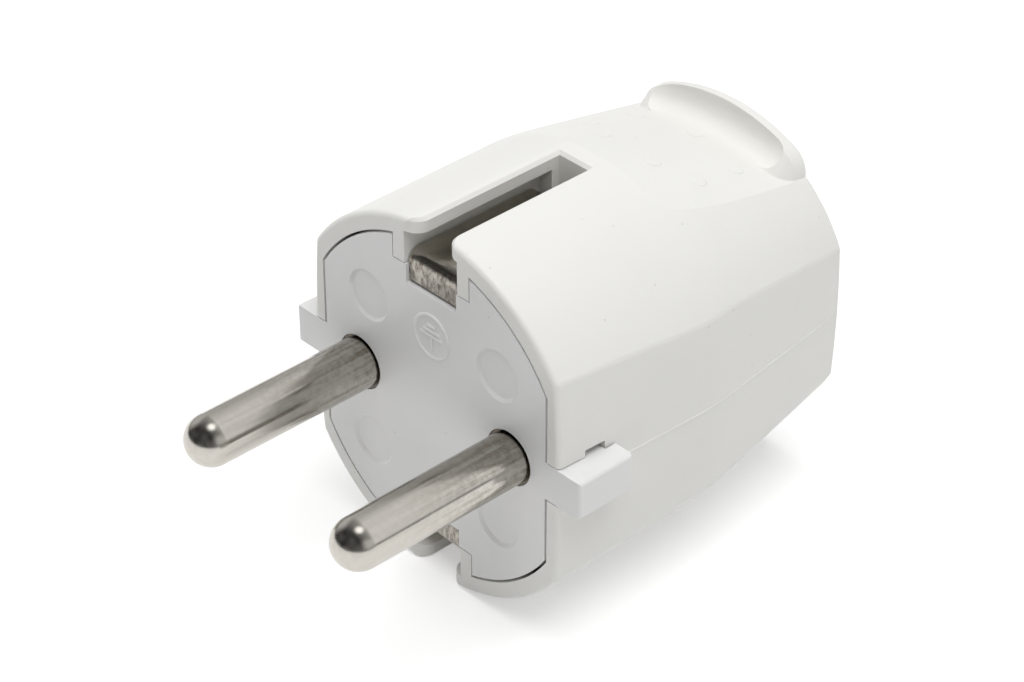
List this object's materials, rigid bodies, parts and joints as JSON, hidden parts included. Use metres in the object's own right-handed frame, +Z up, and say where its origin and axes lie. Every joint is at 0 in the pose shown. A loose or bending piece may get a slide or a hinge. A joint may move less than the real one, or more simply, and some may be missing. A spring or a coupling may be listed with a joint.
{
  "type": "two-pin plug",
  "caption": "Earthed mains plug with solid round contact pins, contact strips in side slots, locking lugs, thumb faces with a rear lip and a straight cable exit",
  "frame": {"origin": "centre of the engagement face, midway between the contact pins", "axes": "+Z up towards one earth contact, +X towards the right pin seen from behind the pins, +Y towards the cable exit; the pins point to -Y"},
  "size_m": [0.036, 0.0553, 0.036],
  "materials": {
    "housing": "satin moulded thermoplastic, warm white",
    "contact_carrier": "satin moulded thermoplastic, cool white",
    "left_pin": "satin nickel plating on brass",
    "right_pin": "satin nickel plating on brass",
    "left_terminal_screw": "zinc plated",
    "right_terminal_screw": "zinc plated",
    "pin_retainer": "moulded, matt",
    "retainer_screw": "zinc plated",
    "earth_bow": "nickel plated strip, rubbed at the ends",
    "earth_clamp_washer": "zinc plated",
    "earth_terminal_screw": "zinc plated",
    "cord_clamp_bar": "moulded, matt",
    "left_clamp_screw": "zinc plated",
    "right_clamp_screw": "zinc plated",
    "left_clamp_nut": "zinc plated",
    "right_clamp_nut": "zinc plated"
  },
  "bodies": {
    "root": {"housing": "housing", "contact_carrier": "contact_carrier", "left_pin": "left_pin", "right_pin": "right_pin", "left_terminal_screw": "left_terminal_screw", "right_terminal_screw": "right_terminal_screw", "pin_retainer": "pin_retainer", "retainer_screw": "retainer_screw", "earth_bow": "earth_bow", "earth_clamp_washer": "earth_clamp_washer", "earth_terminal_screw": "earth_terminal_screw", "cord_clamp_bar": "cord_clamp_bar", "left_clamp_screw": "left_clamp_screw", "right_clamp_screw": "right_clamp_screw", "left_clamp_nut": "left_clamp_nut", "right_clamp_nut": "right_clamp_nut"}
  },
  "joints": []
}
